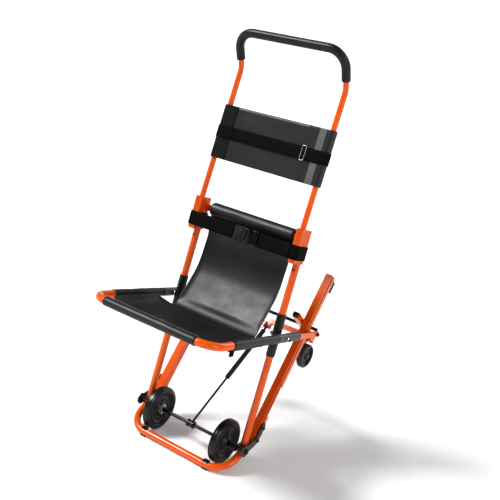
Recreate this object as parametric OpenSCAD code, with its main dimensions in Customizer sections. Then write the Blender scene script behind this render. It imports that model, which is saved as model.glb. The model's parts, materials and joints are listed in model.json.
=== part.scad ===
// Stair chair: a folding evacuation chair with a telescopic handle, a fabric seat, two front wheels,
// two hinged track rails and a swing-down rear castor frame held open by a gas strut.
// The main frame is drawn upright, with its tubes along z, and place() leans it back onto its wheels.

/* [Main frame] */
// Angle that the main frame leans behind the vertical
lean = 12; // [10:1:14]
// Half the distance between the two upright tubes
half_w = 210; // [208:1:212]
// Outer radius of the upright tube
tube_r = 12.5; // [12:0.5:12.5]
// Wall of the upright tube
tube_wall = 1.5; // [1.2:0.1:2]
// Height of the upright tube's top end above the sleeve top
upright_top = 286; // [280:1:288]
// How far the foot bar sits in front of the uprights
foot_fwd = 82; // [78:1:86]

/* [Wheels] */
// Radius of a front wheel
wheel_r = 78; // [76:1:80]
// Distance from the middle to the centre of a front wheel
wheel_x = 144.5; // [142:0.5:146]
// Width of a front tyre
tyre_w = 30; // [26:1:32]
// Radius of a castor wheel
castor_r = 45; // [42:1:46]
// Radius of the axle
axle_r = 6; // [5.5:0.5:6]

/* [Seat] */
// Half the distance between the seat frame's side tubes
seat_half_w = 243; // [242:0.5:244]
// Distance from the seat pivot forward to the front bar
seat_depth = 416; // [400:2:430]
// Slope of the seat frame, rising to the rear, against the square of the main frame
seat_slope = 2; // [1:0.5:3]
// Height of the seat pivot below the sleeve top
pivot_drop = 72; // [70:1:74]

/* [Handle] */
// Half the distance between the handle's side tubes
handle_half_w = 209; // [208:1:210]
// Outer radius of the handle tube
handle_r = 10; // [9.5:0.5:10]
// Height of the bend below the grip, above the sleeve top
handle_bend = 760; // [740:5:780]
// Outer radius of the foam grip
grip_r = 15; // [14:0.5:16]

/* [Rails] */
// Angle between an open rail and the uprights
rail_tilt = 22; // [21.5:0.5:22.5]
// Width of a rail
rail_w = 26; // [25:1:26]
// Depth of a rail from its front web to its open back
rail_d = 32; // [32:1:33]
// Distance from the axle to the top end of a rail
rail_end = 679; // [660:1:690]

/* [Castor frame] */
// Angle of the castor legs below the square of the main frame
leg_drop = 28; // [27:0.5:29]
// Side of a square castor leg
leg_w = 20; // [19:0.5:20]

/* [Hidden] */
$fn = 48;

// Fits
run_gap = 0.05;
loose_gap = 0.3;
// Hairline between the straights and the bends of a tube, which are solids of their own
seam = 0.01;

// Axle line, in the main frame's own axes
axle_y = -20;
axle_z = -472;
// The lift brings the front wheels down to the floor at z = 0
lift = wheel_r + axle_y * sin(lean) - axle_z * cos(lean);
// Shift that puts the origin below the middle of the whole chair
origin_shift = 54;

// Foot bar
foot_pad_t = 3;
foot_pad_l = 22;
foot_pad_x = 136;
foot_z = (tube_r + foot_pad_t - lift - foot_fwd * sin(lean)) / cos(lean);
knee_z = -483;
knee_bend_r = 40;
foot_corner_r = 73;
main_path = [[-half_w, 0, upright_top], [-half_w, 0, knee_z], [-half_w, -foot_fwd, foot_z],
  [half_w, -foot_fwd, foot_z], [half_w, 0, knee_z], [half_w, 0, upright_top]];
main_bends = [0, knee_bend_r, foot_corner_r, foot_corner_r, knee_bend_r, 0];

// Black sleeves on the uprights, round the seat pivot
sleeve_h = 146;
sleeve_t = 3;

// Clamp blocks that join the handle to the uprights
block_z0 = 175;
block_z1 = 290;
block_half_w = 14;
block_front = -45;
block_back = 16.5;
flute_w = 1.8;
flute_step = 5;

// Handle tube, sloping slightly back from its lower end
handle_slope = 0.039;
handle_y0 = -38.5;
handle_low = 173;
handle_top_y = -84;
handle_top_z = 869;
handle_path = [[-handle_half_w, handle_y(handle_low), handle_low],
  [-handle_half_w, handle_y(handle_bend), handle_bend], [-handle_half_w, handle_top_y, handle_top_z],
  [handle_half_w, handle_top_y, handle_top_z], [handle_half_w, handle_y(handle_bend), handle_bend],
  [handle_half_w, handle_y(handle_low), handle_low]];
handle_bends = [0, 60, 62, 62, 60, 0];
grip_start = 0.24;
grip_low = handle_path[1] + (handle_path[2] - handle_path[1]) * grip_start;
grip_path = [grip_low, handle_path[2], handle_path[3], [-grip_low[0], grip_low[1], grip_low[2]]];
pad_z0 = 434;
pad_z1 = 622;
slide_x = 136;
strap_w = 42;
strap_mid = 528;

// Cross tube and sling
cross_y = 8;
cross_z = 257;
cross_half = 171;
cross_r = 12.5;
cover_r = 22.5;
sling_half = 171.5;
sling_t = 2.2;
sling_line = [[9, 233], [15, 168], [18, 76], [-8, 5], [-42, -64]];

// Waist belt
belt_z0 = 187;
belt_h = 48;
buckle_x = 22;
belt_t = 2;

// Seat, in its own axes at the pivot
seat_corner_r = 60;
pan_back = -66;
pan_half = 226;
plate_x = 231;
plate_t = 7;
plate_end = 252;
plate_z = -7.5;
plate_h = 21;
seat_path = [[-seat_half_w, 90, 0], [-seat_half_w, -seat_depth, 0],
  [seat_half_w, -seat_depth, 0], [seat_half_w, 90, 0]];
seat_bends = [0, seat_corner_r, seat_corner_r, 0];

// Rails, in their own axes at the axle line: y is away from the uprights and z runs along the rail
rail_y = 33.5;
rail_start = 26;
pulley_r = 9;
pulley_y = rail_y + 20;
belt_track_t = 3.4;
pulley_low = rail_start + 20;
pulley_high = rail_end - 20;

// Cross rod, the castor frame's pivot
rod_r = 6;
rod_main_y = 236;
rod_main_z = -54;
rod_y = (rod_main_y - axle_y) * cos(rail_tilt) - (rod_main_z - axle_z) * sin(rail_tilt);
rod_z = (rod_main_y - axle_y) * sin(rail_tilt) + (rod_main_z - axle_z) * cos(rail_tilt);

// Castor frame, in its own axes at the cross rod: y runs along the leg to the rear
leg_x = 183;
leg_front = -84;
leg_back = 118;
leg_z = -3;
bar_y = 108;
castor_y = 140;
castor_z = -66;
castor_w = 24;
eye_y = 104;
eye_z = -26;

// Strut, from the axle to the castor frame's crossbar
eye_main_y = rod_main_y + eye_y * cos(leg_drop) + eye_z * sin(leg_drop);
eye_main_z = rod_main_z - eye_y * sin(leg_drop) + eye_z * cos(leg_drop);
strut_len = norm([eye_main_y - axle_y, eye_main_z - axle_z]);
strut_angle = atan2(eye_main_z - axle_z, eye_main_y - axle_y);
strut_r = 9;
strut_bore = 7.5;
strut_rod_r = 4;
strut_open = 217;
piston_top = 245;

function handle_y(z) = handle_y0 + handle_slope * z;
function unit(v) = v / norm(v);

// Places the upright main frame so that it leans back and stands on the floor
module place() {
  translate([0, origin_shift, lift]) rotate([-lean, 0, 0]) children();
}
module seat_place() {
  place() translate([0, 0, -pivot_drop]) rotate([seat_slope, 0, 0]) children();
}
module rail_place() {
  place() translate([0, axle_y, axle_z]) rotate([-rail_tilt, 0, 0]) children();
}
module castor_place() {
  place() translate([0, rod_main_y, rod_main_z]) rotate([-leg_drop, 0, 0]) children();
}
// z runs along the strut from the axle to its upper eye
module strut_place() {
  place() translate([0, axle_y, axle_z]) rotate([strut_angle - 90, 0, 0]) children();
}
module both_sides() {
  for (side = [0, 1]) mirror([side, 0, 0]) children();
}

// Straight tube between two points, with u square to it; a bore of 0 leaves it solid
module bar(a, b, u, r, bore = 0) {
  w = unit(b - a);
  v = cross(w, u);
  multmatrix([[u[0], v[0], w[0], a[0]], [u[1], v[1], w[1], a[1]], [u[2], v[2], w[2], a[2]]])
    linear_extrude(norm(b - a)) ring_2d(r, bore);
}
// Bend between the unit directions d1 and d2, about the corner point c
module bend(c, d1, d2, bend_r, r, bore = 0) {
  turn = acos(d1 * d2);
  n = unit(d2 - d1 * (d1 * d2));
  o = c - d1 * bend_r * tan(turn / 2) + n * bend_r;
  z = cross(-n, d1);
  multmatrix([[-n[0], d1[0], z[0], o[0]], [-n[1], d1[1], z[1], o[1]], [-n[2], d1[2], z[2], o[2]]])
    rotate_extrude(angle = turn) translate([bend_r, 0]) ring_2d(r, bore);
}
module ring_2d(r, bore) {
  difference() {
    circle(r = r);
    if (bore > 0) circle(r = bore);
  }
}
// Bent tube through a list of corner points, with one bend radius for each corner
module bent_tube(path, bends, r, bore = 0) {
  last = len(path) - 1;
  function dir(i) = unit(path[i + 1] - path[i]);
  function turn_axis(i) = unit(cross(dir(i - 1), dir(i)));
  function cut(i) = i == 0 || i == last ? 0 : bends[i] * tan(acos(dir(i - 1) * dir(i)) / 2) + seam;
  for (i = [0 : last - 1])
    bar(path[i] + dir(i) * cut(i), path[i + 1] - dir(i) * cut(i + 1), turn_axis(max(i, 1)), r, bore);
  for (i = [1 : last - 1]) bend(path[i], dir(i - 1), dir(i), bends[i], r, bore);
}
// Cylinder along x, from x0 to x1, at the given y and z
module along_x(x0, x1, y, z, r) {
  translate([x0, y, z]) rotate([0, 90, 0]) cylinder(r = r, h = x1 - x0);
}
module ring_x(x0, x1, y, z, r, hole_r) {
  difference() {
    along_x(x0, x1, y, z, r);
    along_x(x0 - 1, x1 + 1, y, z, hole_r);
  }
}
// Slab of constant thickness that follows points in the y-z plane, as wide as x0 to x1
module strip(points, t, x0, x1) {
  translate([x0, 0, 0]) rotate([90, 0, 90]) linear_extrude(x1 - x0)
    for (i = [0 : len(points) - 2]) hull() {
      translate(points[i]) circle(d = t, $fn = 12);
      translate(points[i + 1]) circle(d = t, $fn = 12);
    }
}
// Outline of a loop that runs round two bars, r from each centre
module loop_2d(half, r) {
  square([2 * half, 2 * r], center = true);
  for (side = [-1, 1]) translate([side * half, 0]) circle(r = r);
}

// ---- Main frame ----
module main_tube() {
  color("orangered") place() difference() {
    bent_tube(main_path, main_bends, tube_r, tube_r - tube_wall);
    both_sides() along_x(half_w - 20, half_w + 20, 0, -pivot_drop, 4 + run_gap);
  }
}
module foot_pads() {
  color("black") place() both_sides() translate([0, -foot_fwd, foot_z]) rotate([lean, 0, 0])
    for (side = [0, 1]) mirror([0, 0, side]) intersection() {
      ring_x(foot_pad_x - foot_pad_l / 2, foot_pad_x + foot_pad_l / 2, 0, 0, tube_r + 6, tube_r + 0.5);
      translate([foot_pad_x - foot_pad_l / 2, -8, 4]) cube([foot_pad_l, 16, tube_r + foot_pad_t - 4]);
    }
}
module upright_sleeves() {
  color("black") place() both_sides() translate([half_w, 0, -sleeve_h]) difference() {
    cylinder(r = tube_r + sleeve_t, h = sleeve_h);
    translate([0, 0, -1]) cylinder(r = tube_r, h = sleeve_h + 2);
    along_x(-20, 20, 0, sleeve_h - pivot_drop, 4 + run_gap);
  }
}
module axle() {
  color("black") place() along_x(-236, 236, axle_y, axle_z, axle_r);
}
module axle_clamps() {
  clamp_r = tube_r + 3;
  clamp_h = 26;
  color("black") place() both_sides() difference() {
    translate([half_w, 0, axle_z - clamp_h / 2]) union() {
      cylinder(r = clamp_r, h = clamp_h);
      translate([-clamp_r, axle_y - 11, 0]) cube([2 * clamp_r, 11 - axle_y, clamp_h]);
    }
    translate([half_w, 0, axle_z - clamp_h]) cylinder(r = tube_r + 0.05, h = 2 * clamp_h);
    // open at the front below, where the tube bends forward
    translate([half_w - tube_r - 0.3, axle_y - 12, axle_z - clamp_h])
      cube([2 * tube_r + 0.6, 12 - axle_y, clamp_h + 10]);
    along_x(half_w - 30, half_w + 30, axle_y, axle_z, axle_r);
  }
}
// Set collars that keep the wheels and the strut's eye in place along the axle
module axle_collars() {
  color("dimgray") place() both_sides() {
    ring_x(7, 14, axle_y, axle_z, 13, axle_r);
    ring_x(wheel_x - 25.5, wheel_x - 18.5, axle_y, axle_z, 10, axle_r);
    ring_x(wheel_x + 18.5, wheel_x + 26.5, axle_y, axle_z, 11, axle_r);
  }
}
module axle_nuts() {
  color("dimgray") place() both_sides() difference() {
    translate([233.2, axle_y, axle_z]) rotate([0, 90, 0]) cylinder(r = 10, h = 6, $fn = 6);
    along_x(230, 236, axle_y, axle_z, axle_r);
  }
}
// Outline of a clamp block, with flutes down its front and sides
module block_2d() {
  depth = block_back - block_front;
  corner = 5;
  mid_y = (block_back + block_front) / 2;
  difference() {
    translate([0, mid_y]) union() {
      square([2 * block_half_w, depth - 2 * corner], center = true);
      square([2 * (block_half_w - corner), depth], center = true);
      for (sx = [-1, 1], sy = [-1, 1])
        translate([sx * (block_half_w - corner), sy * (depth / 2 - corner)]) circle(r = corner);
    }
    for (i = [-1 : 1]) translate([i * flute_step, block_front]) square([flute_w, 2 * flute_w], center = true);
    for (side = [-1, 1], i = [-4 : 4])
      translate([side * block_half_w, mid_y + i * flute_step]) square([2 * flute_w, flute_w], center = true);
  }
}
module clamp_block() {
  color("orangered") place() difference() {
    translate([half_w, 0, block_z0]) linear_extrude(block_z1 - block_z0) block_2d();
    translate([half_w, 0, block_z0 - 1]) cylinder(r = tube_r, h = upright_top - block_z0 + 1);
    bar([handle_half_w, handle_y(block_z0 - 40), block_z0 - 40],
      [handle_half_w, handle_y(block_z1 + 40), block_z1 + 40], [1, 0, 0], handle_r + 0.1);
  }
}
module clamp_block_right() { clamp_block(); }
module clamp_block_left() { mirror([1, 0, 0]) clamp_block(); }
module cross_tube() {
  color("dimgray") place() ring_x(-cross_half, cross_half, cross_y, cross_z, cross_r, cross_r - tube_wall);
}
// Stepped brackets that plug into the cross tube and bolt to the clamp blocks
module cross_tube_brackets() {
  inner_r = cross_r - tube_wall;
  color("orangered") place() both_sides() {
    along_x(cross_half - 20, cross_half, cross_y, cross_z, inner_r);
    along_x(cross_half, cross_half + 6, cross_y, cross_z, cross_r + 3);
    translate([cross_half + 6, cross_y - 14, cross_z - 11])
      cube([half_w - block_half_w - cross_half - 6, 20, 22]);
  }
}
module cross_tube_cover() {
  color("dimgray") place() ring_x(-cross_half + 1, cross_half - 1, cross_y, cross_z, cover_r, cross_r);
}
module sling_back() {
  color("dimgray") place() strip(sling_line, sling_t, -sling_half, sling_half);
}
// Half of the waist belt: a loop round the clamp block and a flat run to the buckle
module waist_belt(inner_x) {
  gap = 0.4;
  outer = [2 * (block_half_w + gap + belt_t), block_back - block_front + 2 * (gap + belt_t)];
  inner = [2 * (block_half_w + gap), block_back - block_front + 2 * gap];
  mid_y = (block_back + block_front) / 2;
  color("black") place() translate([0, 0, belt_z0]) linear_extrude(belt_h) {
    translate([half_w, mid_y]) difference() {
      square(outer, center = true);
      square(inner, center = true);
    }
    translate([inner_x, block_front - gap - belt_t]) square([half_w - inner_x, belt_t]);
  }
}
module waist_belt_right() { waist_belt(buckle_x + 14); }
module waist_belt_left() { mirror([1, 0, 0]) waist_belt(44 - buckle_x); }
buckle_y = block_front - 8;
buckle_h = belt_h + 4;
module buckle_socket() {
  color("black") place() translate([buckle_x - 42, buckle_y - 4, belt_z0 - 2]) difference() {
    cube([30, 11, buckle_h]);
    translate([-1, 5, 4]) cube([10, 3, buckle_h - 8]);
    translate([14, 3, 8]) cube([20, 5, buckle_h - 16]);
  }
}
module buckle_plug() {
  color("black") place() translate([buckle_x - 11.5, buckle_y - 2.5, belt_z0]) difference() {
    union() {
      cube([23, 8, belt_h]);
      translate([-14, 2, 8]) cube([14, 4, 6]);
      translate([-14, 2, belt_h - 14]) cube([14, 4, 6]);
      translate([-12, 2.5, 20]) cube([12, 3, 10]);
    }
    translate([14, 3.5, 3]) cube([5, 3, belt_h - 6]);
  }
}
module belt_slider() {
  color("black") place() translate([buckle_x + 24, buckle_y + 1, belt_z0 - 2]) difference() {
    cube([22, 4.4, buckle_h]);
    translate([4, -1, 4]) cube([4, 7, buckle_h - 8]);
    translate([14, -1, 4]) cube([4, 7, buckle_h - 8]);
  }
}
module seat_pivot_bolts() {
  color("silver") place() both_sides() {
    along_x(192, 262, 0, -pivot_drop, 4);
    along_x(258.6, 262.6, 0, -pivot_drop, 7);
    ring_x(226, 227.4, 0, -pivot_drop, 9, 4);
    translate([188, 0, -pivot_drop]) rotate([0, 90, 0]) cylinder(r = 7, h = 6, $fn = 6);
  }
}
// Screws that hold the blocks, the brackets and the handle's end stop
module frame_screws() {
  color("silver") place() both_sides() {
    for (z = [242, 275]) translate([half_w, block_back, z]) rotate([-90, 0, 0]) cylinder(r = 5, h = 3);
    difference() {
      translate([half_w, -tube_r + 1, 152]) rotate([90, 0, 0]) cylinder(r = 3.5, h = 3.5);
      translate([half_w, 0, 140]) cylinder(r = tube_r + 0.05, h = 24);
    }
  }
}

// ---- Seat ----
module seat_tube() {
  color("orangered") seat_place() difference() {
    union() {
      bent_tube(seat_path, seat_bends, tube_r, tube_r - tube_wall);
      both_sides() {
        hull() {
          translate([seat_half_w, 90, 0]) rotate([-90, 0, 0]) cylinder(r = tube_r, h = 1, $fn = 32);
          translate([plate_x, 140, plate_z - plate_h / 2]) cube([plate_t, 1, plate_h]);
        }
        translate([plate_x, 140, plate_z - plate_h / 2]) cube([plate_t, plate_end - 140, plate_h]);
        along_x(plate_x, plate_x + plate_t, plate_end, plate_z, plate_h / 2);
      }
    }
    both_sides() {
      along_x(seat_half_w - 20, seat_half_w + 20, 0, 0, 4 + run_gap);
      along_x(plate_x - 1, plate_x + plate_t + 1, plate_end - 3, plate_z, 4);
    }
  }
}
module seat_front_sleeve() {
  color("dimgray") seat_place() ring_x(-182, 182, -seat_depth, 0, tube_r + 2, tube_r);
}
// Sleeve on the seat's side tubes, from y0 to y1
module side_sleeve(y0, y1, r) {
  both_sides() translate([seat_half_w, y0, 0]) rotate([-90, 0, 0]) difference() {
    cylinder(r = r, h = y1 - y0);
    translate([0, 0, -1]) cylinder(r = tube_r, h = y1 - y0 + 2);
  }
}
module seat_side_sleeves() {
  color("dimgray") seat_place() side_sleeve(-290, -56, tube_r + 2);
}
module seat_rear_sleeves() {
  color("gray") seat_place() difference() {
    side_sleeve(-54, 89, tube_r + 2.6);
    both_sides() along_x(seat_half_w - 20, seat_half_w + 20, 0, 0, 4 + run_gap);
  }
}
// Fabric pan, stretched between the side sleeves and the front bar and sagging below them
module seat_pan() {
  pan_t = 4;
  sag = [[pan_back, -6], [-130, -16], [-220, -23], [-310, -18], [-398, -4]];
  color("dimgray") seat_place() intersection() {
    strip(sag, pan_t, -pan_half, pan_half);
    translate([0, 0, -60]) linear_extrude(120) polygon([[-pan_half, pan_back], [-pan_half, -300],
      [-178, -seat_depth + 14], [178, -seat_depth + 14], [pan_half, -300], [pan_half, pan_back]]);
  }
}
module seat_stop_bolts() {
  color("black") seat_place() both_sides() {
    along_x(plate_x - 4, plate_x + plate_t + 4, plate_end - 3, plate_z, 4);
    along_x(plate_x - 5, plate_x, plate_end - 3, plate_z, 6.5);
    along_x(plate_x + plate_t, plate_x + plate_t + 5, plate_end - 3, plate_z, 6.5);
  }
}
// Short strap and hook that hang under the right front corner
module corner_strap() {
  color("black") seat_place() translate([seat_half_w, -318, 0]) difference() {
    union() {
      rotate([-90, 0, 0]) cylinder(r = tube_r + 2, h = 20);
      translate([-1, 0, -33]) cube([2, 20, 20]);
    }
    translate([0, -1, 0]) rotate([-90, 0, 0]) cylinder(r = tube_r, h = 22);
  }
}
module corner_hook() {
  color("silver") seat_place() translate([seat_half_w, -308, -41.5]) rotate([0, 90, 0])
    rotate_extrude() translate([7, 0]) circle(r = 1.4, $fn = 16);
}

// ---- Handle ----
module handle_tube() {
  color("orangered") place() bent_tube(handle_path, handle_bends, handle_r, handle_r - tube_wall);
}
module foam_grip() {
  color("black") place() bent_tube(grip_path, [0, handle_bends[2], handle_bends[3], 0], grip_r, handle_r);
}
// Puts z = 0 on the handle tubes' line at the given height, along the tubes
module on_handle(z) {
  place() translate([0, handle_y(z), z]) rotate([-atan(handle_slope), 0, 0]) children();
}
module back_pad() {
  color("dimgray") on_handle(pad_z0) linear_extrude(pad_z1 - pad_z0) difference() {
    loop_2d(handle_half_w, handle_r + 3);
    loop_2d(handle_half_w, handle_r + 0.4);
  }
}
module chest_strap() {
  color("black") on_handle(strap_mid - strap_w / 2) linear_extrude(strap_w) difference() {
    loop_2d(handle_half_w, handle_r + 5.2);
    loop_2d(handle_half_w, handle_r + 3.4);
  }
}
module chest_buckle() {
  color("silver") on_handle(strap_mid) translate([slide_x, -handle_r - 6.8, 0]) rotate([90, 0, 0])
    linear_extrude(2.4, center = true) difference() {
      square([17, strap_w + 8], center = true);
      for (side = [-1, 1]) translate([side * 3.75, 0]) square([4.5, strap_w + 1], center = true);
    }
}

// ---- Rails ----
// Section of the right rail: a deep channel that is open at the back, with a groove down its outer side
module rail_2d() {
  half = rail_w / 2;
  back = rail_y + rail_d;
  polygon([[-half, rail_y], [half, rail_y], [half, rail_y + 5], [half - 2.5, rail_y + 5],
    [half - 2.5, rail_y + 14], [half, rail_y + 14], [half, back], [half - 4, back],
    [half - 4, rail_y + 5.5], [-half + 3.5, rail_y + 5.5], [-half + 3.5, back], [-half, back]]);
}
module rail() {
  color("orangered") rail_place() difference() {
    translate([half_w, 0, rail_start]) linear_extrude(rail_end - rail_start) rail_2d();
    translate([half_w + 6, rail_y + 22, 137]) cube([12, 20, 108]);
    for (z = [pulley_low, pulley_high]) along_x(half_w - 20, half_w + 20, pulley_y, z, 3);
    for (z = [50, 95]) along_x(half_w + 5, half_w + 20, 46, z, 3.05);
  }
}
module rail_right() { rail(); }
module rail_left() { mirror([1, 0, 0]) rail(); }
// Closed track belts that run round the pulleys inside the rails
module track_belts() {
  mid = (pulley_low + pulley_high) / 2;
  half = (pulley_high - pulley_low) / 2;
  color("black") rail_place() both_sides() translate([half_w + 0.25 - 8, pulley_y, mid])
    rotate([90, 90, 90]) linear_extrude(16) difference() {
      loop_2d(half, pulley_r + loose_gap + belt_track_t);
      loop_2d(half, pulley_r + loose_gap);
    }
}
// Ribbed rubber buffers at the rails' upper ends
module rail_buffers() {
  ribs = 6;
  pitch = 7;
  depth = 18;
  color("black") rail_place() both_sides()
    translate([half_w - 11, rail_y + rail_d + 1, rail_end - 12 - ribs * pitch]) {
      cube([24, depth - 3, ribs * pitch]);
      for (i = [0 : ribs - 1]) translate([0, 0, i * pitch]) cube([24, depth, pitch - 3]);
      for (x = [0, 20.5]) translate([x, -1, 4]) cube([1.5, 1, ribs * pitch - 8]);
    }
}
// Plates that carry the rails on the axle
module pivot_plates() {
  color("gray") rail_place() both_sides() translate([228.5, 0, 0]) difference() {
    rotate([90, 0, 90]) linear_extrude(4) {
      circle(r = 20);
      hull() {
        circle(r = 14);
        translate([46, 50]) circle(r = 11);
      }
      hull() {
        translate([46, 50]) circle(r = 11);
        translate([46, 100]) circle(r = 11);
      }
    }
    along_x(-1, 5, 0, 0, axle_r + run_gap);
    for (z = [50, 95]) along_x(-1, 5, 46, z, 3);
  }
}
// Spacers and screws of the pivot plates, and the pins that the pulleys turn on
module rail_fasteners() {
  color("dimgray") rail_place() both_sides() {
    for (z = [50, 95]) {
      ring_x(half_w + rail_w / 2, 228.5, 46, z, 7, 3);
      along_x(half_w + 9.2, 233, 46, z, 3);
      along_x(232.5, 236, 46, z, 5.5);
    }
    translate([half_w + rail_w / 2, rail_y + 26, 112]) rotate([0, 90, 0]) cylinder(r = 4, h = 2.5);
    for (z = [pulley_low, pulley_high])
      along_x(half_w - rail_w / 2 - 1, half_w + rail_w / 2 + 1, pulley_y, z, 3);
  }
}
// Lugs on the rails' inner sides that hold the cross rod
module rod_lugs() {
  inner = half_w - rail_w / 2;
  color("orangered") rail_place() both_sides() difference() {
    union() {
      translate([inner - 2.7, rail_y + 12, rod_z - 11]) cube([2.7, rod_y - rail_y - 12, 22]);
      along_x(inner - 2.7, inner, rod_y, rod_z, 11);
    }
    along_x(inner - 4, inner + 1, rod_y, rod_z, rod_r);
  }
}
module cross_rod() {
  color("black") rail_place() along_x(-237, 237, rod_y, rod_z, rod_r);
}
module pulley(z) {
  color("dimgray") rail_place() translate([half_w + 0.25, pulley_y, z]) rotate([0, 90, 0]) difference() {
    cylinder(r = pulley_r, h = 15, center = true);
    cylinder(r = 3 + run_gap, h = 20, center = true);
    for (a = [0 : 45 : 315]) rotate(a) translate([pulley_r, 0, 0]) cylinder(r = 1, h = 20, center = true);
  }
}
module pulley_top_right() { pulley(pulley_high); }
module pulley_bottom_right() { pulley(pulley_low); }
module pulley_top_left() { mirror([1, 0, 0]) pulley(pulley_high); }
module pulley_bottom_left() { mirror([1, 0, 0]) pulley(pulley_low); }

// ---- Castor frame ----
module castor_legs() {
  wall = 2;
  color("orangered") castor_place() both_sides() difference() {
    translate([leg_x - leg_w / 2, leg_front, leg_z - leg_w / 2]) cube([leg_w, leg_back - leg_front, leg_w]);
    translate([leg_x - leg_w / 2 + wall, leg_front - 1, leg_z - leg_w / 2 + wall])
      cube([leg_w - 2 * wall, leg_back - leg_front - wall, leg_w - 2 * wall]);
    along_x(leg_x - 20, leg_x + 20, 0, 0, rod_r + run_gap);
  }
}
// Crossbar between the legs, with two ears for the strut's upper eye
module castor_crossbar() {
  wall = 2;
  half = leg_x - leg_w / 2;
  side = leg_w - 2;
  color("orangered") castor_place() {
    difference() {
      translate([-half, bar_y - side / 2, leg_z - side / 2]) cube([2 * half, side, side]);
      translate([-half - 1, bar_y - side / 2 + wall, leg_z - side / 2 + wall])
        cube([2 * half + 2, side - 2 * wall, side - 2 * wall]);
    }
    for (side_x = [-13, 9]) translate([side_x, 0, 0]) difference() {
      union() {
        translate([0, eye_y - 10, eye_z]) cube([4, 20, leg_z - leg_w / 2 - eye_z + 1]);
        along_x(0, 4, eye_y, eye_z, 10);
      }
      along_x(-1, 5, eye_y, eye_z, 4);
    }
  }
}
module leg_caps() {
  color("black") castor_place() both_sides() {
    difference() {
      along_x(leg_x - 9.5, leg_x + 9.5, leg_front - 5, leg_z, 10);
      translate([leg_x - 20, leg_front, leg_z - 20]) cube([40, 20, 40]);
    }
    translate([leg_x - 7, leg_front, leg_z - 7]) cube([14, 14, 14]);
  }
}
// Angle brackets under the legs that carry the castor wheels from their inner sides
module castor_brackets() {
  inner = leg_x - 20.2;
  under = leg_z - leg_w / 2;
  t = 4;
  color("salmon") castor_place() both_sides() difference() {
    union() {
      translate([inner, 84, under - t]) cube([leg_x + leg_w / 2 - inner, 40, t]);
      translate([inner, 0, 0]) rotate([90, 0, 90]) linear_extrude(t) {
        polygon([[84, under], [124, under], [castor_y + 12, castor_z + 4], [castor_y - 12, castor_z - 4]]);
        translate([castor_y, castor_z]) circle(r = 12.6);
      }
    }
    along_x(inner - 1, inner + t + 1, castor_y, castor_z, 4);
  }
}
module castor_bolts() {
  inner = leg_x - 20.2;
  color("dimgray") castor_place() both_sides() {
    along_x(inner - 4, inner, castor_y, castor_z, 7);
    along_x(inner - 1, leg_x + 9.6, castor_y, castor_z, 4);
    along_x(leg_x + 8.4, leg_x + 10, castor_y, castor_z, 6);
    for (side = [-13, 13]) along_x(side == 13 ? 8.2 : -16, side == 13 ? 16 : -8.2, eye_y, eye_z, 4);
  }
}
castor_mid = leg_x - 3.95;
module castor_hub() {
  color("dimgray") castor_place() translate([castor_mid, castor_y, castor_z]) rotate([0, 90, 0])
    difference() {
      union() {
        cylinder(r = castor_r - 12, h = 12, center = true);
        cylinder(r = 9, h = castor_w, center = true);
        cylinder(r = castor_r - 9, h = 6, center = true);
      }
      cylinder(r = 4 + run_gap, h = 40, center = true);
    }
}
// Rounded tyre outline: a flat tread with full shoulders, outside r_in
module tyre(r, w, r_in, shoulder) {
  rotate_extrude($fn = 96) difference() {
    union() {
      translate([r_in, -w / 2]) square([r - shoulder - r_in, w]);
      translate([r_in, -w / 2 + shoulder]) square([r - r_in, w - 2 * shoulder]);
      for (s = [-1, 1]) translate([r - shoulder, s * (w / 2 - shoulder)]) circle(r = shoulder);
    }
    translate([0, -w]) square([r_in, 2 * w]);
  }
}
module castor_tyre() {
  color("black") castor_place() translate([castor_mid, castor_y, castor_z]) rotate([0, 90, 0])
    difference() {
      tyre(castor_r, castor_w, castor_r - 12, 7);
      cylinder(r = castor_r - 9, h = 6, center = true);
    }
}
module castor_hub_right() { castor_hub(); }
module castor_tyre_right() { castor_tyre(); }
module castor_hub_left() { mirror([1, 0, 0]) castor_hub(); }
module castor_tyre_left() { mirror([1, 0, 0]) castor_tyre(); }

// ---- Front wheels ----
module hub() {
  color("black") place() translate([wheel_x, axle_y, axle_z]) rotate([0, 90, 0]) difference() {
    union() {
      cylinder(r = wheel_r - 22, h = 8, center = true);
      cylinder(r = 20, h = 30, center = true);
      cylinder(r = 14, h = 36, center = true);
      difference() {
        cylinder(r = wheel_r - 22, h = 26, center = true);
        cylinder(r = wheel_r - 28, h = 28, center = true);
      }
      cylinder(r = wheel_r - 17, h = 10, center = true);
    }
    cylinder(r = axle_r + run_gap, h = 60, center = true);
  }
}
module front_tyre() {
  color("black") place() translate([wheel_x, axle_y, axle_z]) rotate([0, 90, 0]) difference() {
    tyre(wheel_r, tyre_w, wheel_r - 22, 11);
    cylinder(r = wheel_r - 17, h = 10, center = true);
  }
}
module hub_right() { hub(); }
module tyre_right() { front_tyre(); }
module hub_left() { mirror([1, 0, 0]) hub(); }
module tyre_left() { mirror([1, 0, 0]) front_tyre(); }

// ---- Gas strut ----
module strut_rod() {
  color("black") strut_place() {
    ring_x(-6.6, 6.6, 0, 0, 11, axle_r + run_gap);
    translate([0, 0, 10]) cylinder(r = strut_rod_r, h = piston_top - 10);
    translate([0, 0, piston_top - 10]) cylinder(r = strut_bore - run_gap, h = 10);
  }
}
module strut_cylinder() {
  neck = 24;
  color("black") strut_place() difference() {
    union() {
      translate([0, 0, strut_open]) cylinder(r = strut_r, h = strut_len - neck - strut_open);
      translate([0, 0, strut_len - neck - 1]) cylinder(r = 4.5, h = neck - 4);
      along_x(-6, 6, 0, strut_len, 8);
    }
    translate([0, 0, strut_open + 12]) cylinder(r = strut_bore, h = strut_len - neck - strut_open - 22);
    translate([0, 0, strut_open - 1]) cylinder(r = strut_rod_r + run_gap, h = 14);
    along_x(-8, 8, 0, strut_len, 4);
  }
}

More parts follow.
